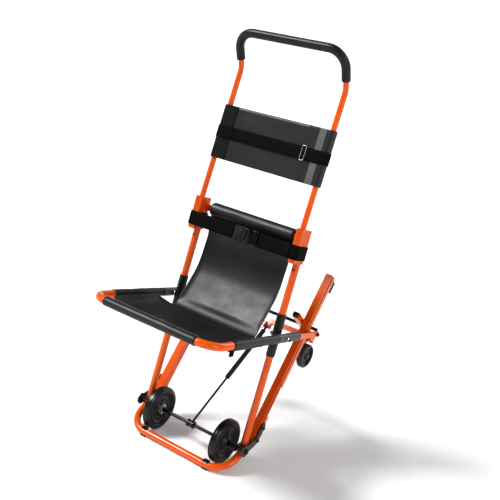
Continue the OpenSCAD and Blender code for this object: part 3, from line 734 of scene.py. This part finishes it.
def make_back_pad():
    """The vinyl back: a loop round both handle tubes, with a flap lapped over it at each side."""
    path = loop_path(HANDLE_HALF, PAD_R, belly=1.2)
    rows = 22
    rings = []
    for r in range(rows + 1):
        z = PAD_Z0 + (PAD_Z1 - PAD_Z0) * r / rows
        ring = []
        for x, y in path:
            flat = max(0.0, 1 - abs(x) / HANDLE_HALF)
            lump = noise.noise(Vector((x * 0.011, z * 0.017, 2 if y > 0 else 5))) * 1.6 * min(flat * 6, 1)
            ring.append(hand.at(x, y + lump, z))
        rings.append(ring)
    verts, faces = swept(rings, capped=False)
    pad = make_object("back_loop", verts, faces, "black_vinyl")
    thicken(pad, SHEET_T)
    smoothed(pad)
    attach(pad, "handle")
    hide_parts("back_pad")
    panel("back_flap_left", -HANDLE_HALF, -160, PAD_Z0 + 0.5, PAD_Z1 + 0.5, 1.9, mat="velcro", wrap=-1)
    panel("back_flap_right", 128, HANDLE_HALF, PAD_Z0 + 0.5, PAD_Z1 + 0.5, 1.9, wrap=1)
    # Painted sheen: a lighter vinyl band on the pad's right side stands in for a reflection
    panel("back_sheen_band_right", 170, 196, PAD_Z0 + 1, PAD_Z1, 3.2, mat="painted_sheen_vinyl", steps=6, thick=0.8)
    for x in (132, 146, -164, -148, -136):
        row = [hand.at(x, -PAD_R - 3.0, z) for z in range(PAD_Z0, PAD_Z1, 6)]
        stitches(f"back_stitches_{x}", row, "black_webbing", "handle", 3.6)


SLIDE_X = 136
STRAP_MID = 528
STRAP_W = 42
STRAP_T = 1.5


def make_chest_strap():
    """Webbing round the back pad, doubled back through a wire slide near the right side."""
    mid = STRAP_MID
    path = loop_path(HANDLE_HALF, PAD_R + 4.4, run_steps=30)
    strap = ribbon("chest_loop", hand, path, STRAP_W, STRAP_T, "black_webbing",
                   closed=True, z_mid=mid)
    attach(strap, "handle")
    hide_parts("chest_strap")
    tail = [(x, -PAD_R - 6.3 - 0.6 * math.sin((x - 146) / 12)) for x in range(SLIDE_X + 10, 205, 3)]
    piece = ribbon("chest_tail", hand, tail, STRAP_W - 1, STRAP_T, "black_webbing",
                   z_mid=mid - 2)
    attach(piece, "handle")
    fold = [(-205, -PAD_R - 6.2), (-190, -PAD_R - 6.9), (-170, -PAD_R - 6.9), (-152, -PAD_R - 6.2)]
    piece = ribbon("chest_fold", hand, smooth_path(fold, 5), STRAP_W - 1, STRAP_T,
                   "black_webbing", z_mid=mid + 1)
    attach(piece, "handle")
    y = -PAD_R - 7.6
    high, half, r = STRAP_W / 2 + 3.5, 7.5, 3
    corners = [(SLIDE_X + sx * half, mid + sz * high) for sx, sz in ((-1, -1), (1, -1), (1, 1), (-1, 1))]
    pts = []
    for i, (cx, cz) in enumerate(corners):
        sx, sz = (1 if cx < SLIDE_X else -1), (1 if cz < mid else -1)
        centre = (cx + sx * r, cz + sz * r)
        base = math.pi + i * math.pi / 2
        for s in range(5):
            a = base + math.pi / 2 * s / 4
            pts.append(hand.at(centre[0] + r * math.cos(a), y, centre[1] + r * math.sin(a)))
    ring = wire("slide_frame", pts, 0.9, "plain_steel", closed=True)
    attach(ring, "handle")
    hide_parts("chest_buckle")
    bar = wire("slide_bar", [hand.at(SLIDE_X, y + 1, mid + s * (high - 1)) for s in (-1, 0, 1)], 1.0,
               "black_steel")
    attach(bar, "handle")


# ---- Grip ----
BEND_Z, TOP_Y, TOP_Z, TOP_BEND = 760, -84, 869, 62
GRIP_START = 0.24
GRIP_R = 15.2


def make_grip():
    """Foam sleeve over the handle's top bar and upper slopes, with rounded, slightly swollen ends."""
    low = Vector((HANDLE_HALF, HANDLE_Y0 + HANDLE_SLOPE * BEND_Z, BEND_Z))
    corner = Vector((HANDLE_HALF, TOP_Y, TOP_Z))
    slope = (corner - low).normalized()
    across = Vector((-1, 0, 0))
    start = low.lerp(corner, GRIP_START)
    reach = TOP_BEND * math.tan(slope.angle(across) / 2)
    hub = corner - slope * reach + across * TOP_BEND
    half = [start.lerp(corner - slope * reach, t / 8) for t in range(8)]
    turns = 14
    half += [hub + (-across * math.cos(a) + slope * math.sin(a)) * TOP_BEND
             for a in [math.pi / 2 * t / turns for t in range(turns + 1)]]
    half += [Vector((x, TOP_Y, TOP_Z)) for x in range(120, 0, -15)]
    line = half + [Vector((0, TOP_Y, TOP_Z))] + [Vector((-p.x, p.y, p.z)) for p in reversed(half)]
    rings = []
    sides = 32
    side_ways = slope.cross(across).normalized()
    for i, p in enumerate(line):
        ahead = (line[min(i + 1, len(line) - 1)] - line[max(i - 1, 0)]).normalized()
        out = ahead.cross(side_ways).normalized()
        side_ways = out.cross(ahead).normalized()
        end = min(i, len(line) - 1 - i)
        copies = ((-0.8, 10.4), (-0.8, 13.4), (-0.1, 14.8), (1.2, GRIP_R)) if i == 0 else ((0, GRIP_R),)
        if i == len(line) - 1:
            copies = ((-1.2, GRIP_R), (0.1, 14.8), (0.8, 13.4), (0.8, 10.4))
        for shift, r in copies:
            ring = []
            for k in range(sides):
                a = 2 * math.pi * k / sides
                lump = noise.noise(Vector((i * 0.3, math.cos(a), math.sin(a)))) * 0.25 if end > 0 else 0
                q = p + ahead * shift + (out * math.cos(a) + side_ways * math.sin(a)) * (r + lump)
                ring.append(main.at(*q))
            rings.append(ring)
    verts, faces = swept(rings)
    grip = make_object("grip_foam", verts, faces, "black_foam")
    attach(grip, "handle")
    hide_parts("foam_grip")


# ---- Waist belt ----
BELT_Z0, BELT_H = 187, 48
BELT_T, BELT_TAIL_T = 1.9, 1.8
BUCKLE_X = 22
BLOCK_HALF, BLOCK_FRONT, BLOCK_BACK = 14, -45, 16.5
UPRIGHT_HALF = 210


def belt_loop(side, inner):
    """(x, y) path of one half of the belt: from its inner end, round the block and back to its front."""
    gap, r = 1.4, 4
    x0, x1 = UPRIGHT_HALF - BLOCK_HALF - gap, UPRIGHT_HALF + BLOCK_HALF + gap
    y0, y1 = BLOCK_FRONT - gap, BLOCK_BACK + gap
    pts = [(inner + (x1 - r - inner) * i / 24, y0 - 0.9 * math.sin(math.pi * i / 24)) for i in range(25)]
    for cx, cy, start in ((x1 - r, y0 + r, -90), (x1 - r, y1 - r, 0), (x0 + r, y1 - r, 90)):
        for s in range(1, 6):
            a = math.radians(start + 90 * s / 5)
            pts.append((cx + r * math.cos(a), cy + r * math.sin(a)))
    pts += [(x0, y1 - r - (y1 - y0 - 2 * r - 3) * i / 6) for i in range(1, 7)]
    return [(side * x, y) for x, y in pts]


def make_waist_belt():
    mid = BELT_Z0 + BELT_H / 2
    for side, name, inner in ((1, "right", BUCKLE_X + 14), (-1, "left", 44 - BUCKLE_X)):
        path = belt_loop(side, inner)
        belt = ribbon(f"belt_{name}", main, path, BELT_H, BELT_T, "black_webbing",
                      z_mid=mid, bow=0.3)
        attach(belt, "main_frame")
        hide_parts(f"waist_belt_{name}")
    doubled = [(x, BLOCK_FRONT - 4.0 - 0.7 * math.sin(x / 17)) for x in range(BUCKLE_X + 50, 196, 4)]
    tail = ribbon("belt_tail", main, doubled, BELT_H - 1.5, BELT_TAIL_T, "black_webbing",
                  z_mid=mid - 1)
    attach(tail, "main_frame")
    for x in (188, 178, -188, -178):
        row = [main.at(x, BLOCK_FRONT - (5.3 if x > 0 else 2.9), BELT_Z0 + 5 + h) for h in range(0, 42, 4)]
        stitches(f"belt_stitches_{x}", row, "grey_sleeve", "main_frame", 2.6, 0.4)
    make_buckle()


def make_buckle():
    """Side-release buckle: a hollow socket, a plug with two sprung arms, and a ladder slider."""
    y0 = BLOCK_FRONT - 12
    z0, z1 = BELT_Z0 - 2, BELT_Z0 + BELT_H + 2
    t = 11
    socket = [
        ((-40, y0, z0 + 6), (-12, y0 + 3, z1 - 6)), ((-40, y0 + t - 3, z0 + 6), (-12, y0 + t, z1 - 6)),
        ((-42, y0, z0), (-34, y0 + t, z0 + 9)), ((-42, y0, z1 - 9), (-34, y0 + t, z1)),
        ((-22, y0, z0), (-12, y0 + t, z0 + 8)), ((-22, y0, z1 - 8), (-12, y0 + t, z1)),
        ((-46, y0 + 2, z0 + 1), (-42.5, y0 + t - 2, z1 - 1)),
        ((-36, y0 - 1.2, z0 + 14), (-18, y0 + 1, z1 - 14)),
    ]
    plug = [
        ((-11, y0 + 1, z0 + 1), (0, y0 + t - 1, z1 - 1)), ((8, y0 + 2, z0 + 1), (12, y0 + t - 2, z1 - 1)),
        ((-2, y0 + 2, z0 + 1), (12, y0 + t - 2, z0 + 7)), ((-2, y0 + 2, z1 - 7), (12, y0 + t - 2, z1 - 1)),
        ((-34, y0 + 3.5, z0 + 9.5), (-11, y0 + t - 3.5, z0 + 14)),
        ((-34, y0 + 3.5, z1 - 14), (-11, y0 + t - 3.5, z1 - 9.5)),
        ((-34, y0 + 3, z0 + 1), (-23, y0 + t - 3, z0 + 9)),
        ((-34, y0 + 3, z1 - 9), (-23, y0 + t - 3, z1 - 1)),
        ((-24, y0 + 4, z0 + 24), (-11, y0 + t - 4, z1 - 24)),
    ]
    ladder = [((x, y0 + 4.6, z0 + 3), (x + 3.2, y0 + 8.8, z1 - 3)) for x in (24, 32.5, 41)]
    ladder += [((24, y0 + 4.8, z), (44.2, y0 + 8.6, z + 4)) for z in (z0, z1 - 4)]
    for name, boxes, node, edge in (("buckle_shell", socket, "buckle_socket", 1.4),
                                    ("buckle_tongue", plug, "buckle_plug", 1.1),
                                    ("belt_ladder", ladder, "belt_slider", 0.9)):
        moved = [((a[0] + BUCKLE_X, *a[1:]), (b[0] + BUCKLE_X, *b[1:])) for a, b in boxes]
        piece = blocks(name, main, moved, "black_plastic", edge)
        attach(piece, "main_frame")
        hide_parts(node)
    lip = [main.at(BUCKLE_X - 47 + 7 * math.cos(a), y0 + 0.4, z0 + 27 + 25 * math.sin(a))
           for a in [math.radians(d) for d in range(-78, 79, 12)]]
    rim = wire("buckle_rim", lip, 1.0, "grey_steel")
    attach(rim, "main_frame")


# ---- Wheels ----
WHEEL_X = 144.5
WHEEL_R = 78
TYRE_HALF_W, TYRE_INNER_R = 15, 55.2
TREAD_GROOVES = (-10.5, -6.2, -2.1, 2.1, 6.2, 10.5)
BOLT_CIRCLE_R = 28


def tyre_profile(r, half_w, r_in, shoulder, grooves, depth, lip):
    """Closed (across, radius) section of a tyre with rings cut round its tread and shoulders."""
    pts = []
    steps = 40
    for i in range(steps + 1):
        a = math.pi * i / steps
        across = -half_w * math.copysign(abs(math.cos(a)) ** 0.62, math.cos(a))
        radius = r - shoulder + shoulder * abs(math.sin(a)) ** 0.75
        dip = 0.0
        for g in grooves:
            dip += depth * math.exp(-((across - g) / 1.1) ** 2)
        pts.append((across, radius - dip))
    wall = [(half_w, r - shoulder - 3), (half_w - 1.5, r_in + lip + 2), (half_w - 3, r_in + lip),
            (half_w - 4.2, r_in)]
    return pts + wall + [(-across, radius) for across, radius in reversed(wall)]


def make_front_wheels():
    for side, name in ((-1, "left"), (1, "right")):
        body = f"front_wheel_{name}"
        centre = (side * WHEEL_X, 0, 0)
        prof = tyre_profile(WHEEL_R, TYRE_HALF_W, TYRE_INNER_R, 14, TREAD_GROOVES, 1.7, 3)
        tyre = lathe(f"tread_{name}", prof, axle, centre, "tyre_rubber", 128)
        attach(tyre, body)
        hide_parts(f"tyre_{name}")
        for s in (-1, 1):
            for k, (radius, thick) in enumerate(((60.5, 1.3), (66, 0.9))):
                bead = lathe(f"bead_{name}_{s}_{k}", circle_profile(s * 14.6, radius, thick), axle, centre,
                             "tyre_rubber", 96)
                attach(bead, body)
        make_hub(name, centre, body, side)


def circle_profile(across, radius, thick, points=10):
    """Round (across, radius) section for a ring."""
    turns = [2 * math.pi * k / points for k in range(points)]
    return [(across + thick * math.cos(a), radius + thick * math.sin(a)) for a in turns]


def make_hub(name, centre, body, side):
    """Moulded wheel centre: a dished web with rings and bolts, and a steel washer on its inner face."""
    half = [(18, 6.2), (18, 12), (16.5, 13.5), (15, 14), (14.5, 19), (12, 21), (7.5, 23.5), (6.5, 30),
            (6.8, 33), (8.6, 34.2), (8.6, 36), (6.8, 37.2), (7, 45), (9.5, 49), (12.8, 51.2),
            (12.8, 54.6), (11, 55.1)]
    prof = half + [(-x, r) for x, r in reversed(half)]
    hub = lathe(f"wheel_centre_{name}", prof, axle, centre, "black_plastic", 96)
    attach(hub, body)
    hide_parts(f"hub_{name}")
    for k in range(5):
        a = 2 * math.pi * k / 5 + 0.3
        for s in (-1, 1):
            spot = (centre[0] + s * 6.6, BOLT_CIRCLE_R * math.cos(a), BOLT_CIRCLE_R * math.sin(a))
            section = [(0, 0.4), (s * 2.4, 0.4), (s * 2.9, 2.4), (s * 2.0, 3.4), (0, 3.4)]
            head = lathe(f"wheel_bolt_{name}_{k}_{s}", section, axle, spot,
                         "black_steel", 12)
            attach(head, body)
    inner = -side
    for k, (low, high) in enumerate(((6.6, 12.5), (15.2, 17.6))):
        face = 18.2 if k == 0 else 15.0
        ring = [(inner * face, low), (inner * face, high), (inner * (face + 0.5), high + 0.3),
                (inner * (face + 0.9), high - 0.3), (inner * (face + 0.9), low)]
        washer = lathe(f"wheel_washer_{name}_{k}", ring, axle, centre, "plain_steel", 64)
        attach(washer, body)


def make_castors():
    for name in ("left", "right"):
        body = f"castor_wheel_{name}"
        low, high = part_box(f"castor_tyre_{name}")
        radius, half_w = (high.z - low.z) / 2 / MM, (high.x - low.x) / 2 / MM
        space = Space((low + high) / 2, LEAN + LEG_DROP)
        centre = (0, 0, 0)
        prof = tyre_profile(radius, half_w, radius - 11.8, 8, (-4.6, 0, 4.6), 0.9, 2)
        tread = lathe(f"castor_tread_{name}", prof, space, centre, "grey_castor", 96)
        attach(tread, body)
        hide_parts(f"castor_tyre_{name}")
        edge = radius - 12.2
        half = [(half_w, 4.2), (half_w, 9), (half_w - 1.5, 10), (5, 12), (4.4, 20), (6, 21), (6, 23),
                (4.4, 24), (6.5, edge - 2.5), (6.8, edge - 0.5), (5.5, edge)]
        hub = lathe(f"castor_centre_{name}", half + [(-x, r) for x, r in reversed(half)], space, centre,
                    "black_plastic", 72)
        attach(hub, body)
        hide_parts(f"castor_hub_{name}")


# ---- Track belts ----
def make_track_belts():
    """Toothed belts round the rails' pulleys, with a raised bar every few millimetres."""
    low, high, centre_y, radius = 46, 659, 53.5, 9.3
    thick, rib = 2.4, 1.0
    pitch = 6
    belt_x, half_w = 210.25, 8
    for side, name in ((-1, "left"), (1, "right")):
        run = high - low
        loop = 2 * run + 2 * math.pi * radius
        count = int(loop / pitch)
        rings = []
        for i in range(count * 4):
            d = loop * i / (count * 4)
            phase = i % 4
            out = thick + (rib if phase in (1, 2) else 0)
            if d < run:
                y, z, ny, nz = centre_y + radius, low + d, 1, 0
            elif d < run + math.pi * radius:
                a = (d - run) / radius
                ny, nz = math.cos(a), math.sin(a)
                y, z = centre_y + radius * ny, high + radius * nz
            elif d < 2 * run + math.pi * radius:
                y, z, ny, nz = centre_y - radius, high - (d - run - math.pi * radius), -1, 0
            else:
                a = math.pi + (d - 2 * run - math.pi * radius) / radius
                ny, nz = math.cos(a), math.sin(a)
                y, z = centre_y + radius * ny, low + radius * nz
            x = side * belt_x
            outer_y, outer_z = y + ny * out, z + nz * out
            rings.append([rail.at(x - half_w, y, z), rail.at(x + half_w, y, z),
                          rail.at(x + half_w, outer_y, outer_z), rail.at(x - half_w, outer_y, outer_z)])
        verts, faces = swept(rings, closed_path=True)
        belt = make_object(f"track_{name}", verts, faces, "black_rubber", smooth=False)
        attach(belt, "rails")
        if side > 0:
            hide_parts("track_belts")


# ---- Small details ----
def screw_head(name, space, x, y, z, r, side, body, mat="black_steel"):
    """Domed socket screw head that faces outward along x."""
    prof = [(0, 0.35 * r), (0.5, 0.42 * r), (0.55 * r, 0.42 * r), (0.62 * r, 0.55 * r), (0.5 * r, 0.85 * r),
            (0.25 * r, r), (0, r)]
    prof = [(side * a, b) for a, b in prof]
    obj = lathe(name, prof, space, (x, y, z), mat, 24)
    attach(obj, body)


def make_details():
    for side, name in ((-1, "left"), (1, "right")):
        screw_head(f"pivot_cap_{name}", seat, side * 262.6, 0, 0, 6.5, side, "main_frame")
        screw_head(f"stop_cap_{name}", seat, side * 243, 249, -7.5, 6, side, "seat")
        screw_head(f"rod_cap_{name}", castor, side * 237, 0, 0, 5.8, side, "rails")
        screw_head(f"axle_cap_{name}", axle, side * 239, 0, 0, 5.6, side, "main_frame")
        for k, z in enumerate((50, 95)):
            screw_head(f"plate_cap_{name}_{k}", rail, side * 236, 46, z, 4.6, side, "rails")


def make_groove_shade_strips():
    """Painted shade: a thin dark strip on the floor of the groove along each rail's outer side."""
    for side, name in ((-1, "left"), (1, "right")):
        x0, x1 = sorted((side * 220.6, side * 221.3))
        strip = blocks(f"groove_shade_strip_{name}", rail, [((x0, 38.9, 104), (x1, 47.1, 676))], "painted_groove_shade",
                       0.2)
        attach(strip, "rails")


def make_side_snap():
    """Small wire clip at the right edge where the back meets the seat."""
    ring = [main.at(169 + 5 * math.cos(a), -38 - 2 * math.sin(a), -52 + 9 * math.sin(a))
            for a in [2 * math.pi * k / 24 for k in range(24)]]
    clip = wire("side_clip", ring, 1.3, "plain_steel", closed=True)
    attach(clip, "main_frame")


def make_corner_strap():
    """Webbing tab round the right side tube near the seat's front, with a wire ring."""
    x = SEAT_HALF
    r = TUBE_R + 0.6
    front, back, thick = -318, -298, 1.2
    rings = []
    ends = [(1.3, -34), (1.1, -24), (1.6, -15)]
    turns = [math.radians(a) for a in range(165, -166, -15)]
    loop = ends + [(r * math.sin(a), r * math.cos(a)) for a in turns]
    loop += [(-dx, dz) for dx, dz in reversed(ends)]
    for dx, dz in loop:
        size = math.hypot(dx, dz)
        ox, oz = (dx / size, dz / size) if size > r - 0.5 and dz > -14.5 else (math.copysign(1, dx), 0)
        outer_x, outer_z = x + dx + ox * thick, dz + oz * thick
        rings.append([seat.at(x + dx, front, dz), seat.at(x + dx, back, dz),
                      seat.at(outer_x, back, outer_z), seat.at(outer_x, front, outer_z)])
    verts, faces = swept(rings)
    tab = make_object("corner_tab", verts, faces, "black_webbing")
    bevelled(tab, 0.3)
    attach(tab, "seat")
    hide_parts("corner_strap")
    ring = [seat.at(x, -308 + 8 * math.cos(a), -39 + 5.5 * math.sin(a))
            for a in [2 * math.pi * k / 28 for k in range(28)]]
    eye = wire("corner_ring", ring, 1.3, "plain_steel", closed=True)
    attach(eye, "seat")
    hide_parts("corner_hook")


# ---- Stage ----
FLOOR_HALF = 60
FLOOR_GAP = 0.0005
# Each lamp's name, place in metres, strength and angle in degrees
LAMPS = (
    ("key", (-2.7, -1.9, 4.3), 3.3, 18),
    ("side", (3.4, -0.6, 2.2), 1.1, 35),
    ("rim", (0.8, 3.2, 2.8), 0.8, 35),
)


def make_lamp(name, place, strength, spread, target):
    data = bpy.data.lights.new(name, "SUN")
    data.energy = strength
    data.angle = math.radians(spread)
    lamp = bpy.data.objects.new(name, data)
    bpy.context.scene.collection.objects.link(lamp)
    lamp.location = place
    lamp.rotation_mode = "QUATERNION"
    lamp.rotation_quaternion = (target - Vector(place)).to_track_quat("-Z", "Y")


def make_stage():
    """Pale floor, a studio sky that is brightest at the horizon, and soft lamps."""
    low, high = cad_box
    floor = bpy.data.meshes.new("floor")
    corners = [(x * FLOOR_HALF, y * FLOOR_HALF, 0) for x, y in ((-1, -1), (1, -1), (1, 1), (-1, 1))]
    floor.from_pydata(corners, [], [(0, 1, 2, 3)])
    floor.materials.append(material("pale floor", (0.93, 0.93, 0.93), 0.8, specular=0.1)[0])
    obj = bpy.data.objects.new("floor", floor)
    bpy.context.scene.collection.objects.link(obj)
    obj.location.z = low.z - FLOOR_GAP
    world = bpy.data.worlds.new("world")
    bpy.context.scene.world = world
    world.use_nodes = True
    nodes, links = world.node_tree.nodes, world.node_tree.links
    split = nodes.new("ShaderNodeSeparateXYZ")
    links.new(nodes.new("ShaderNodeTexCoord").outputs["Generated"], split.inputs["Vector"])
    sky = ramp_color(nodes, links, split.outputs["Z"], (0.95, 0.95, 0.95), (0.20, 0.20, 0.205), 0.04, 0.2)
    links.new(sky, nodes["Background"].inputs["Color"])
    middle = (low + high) / 2
    for lamp in LAMPS:
        make_lamp(*lamp, middle)
    bpy.context.scene.view_settings.view_transform = "Standard"
    bpy.context.scene.view_settings.look = "Medium High Contrast"


def paint_cad_nodes():
    """Gives each CAD node the material of its slot in the record; the seat's rear sleeves are greyer."""
    slot_of = {s["node"]: s["material_slot"] for s in frame["record"]["subparts"]}
    special = {"seat_rear_sleeves": "grey_sleeve"}
    for name, obj in NODES.items():
        mat = MATS[special.get(name, slot_of[name])]
        obj.data.materials.clear()
        obj.data.materials.append(mat)


make_camera()
paint_cad_nodes()
make_sling()
make_seat_sleeves()
make_cross_cover()
make_back_pad()
make_chest_strap()
make_grip()
make_waist_belt()
make_front_wheels()
make_castors()
make_track_belts()
make_details()
make_groove_shade_strips()
make_side_snap()
make_corner_strap()
make_stage()
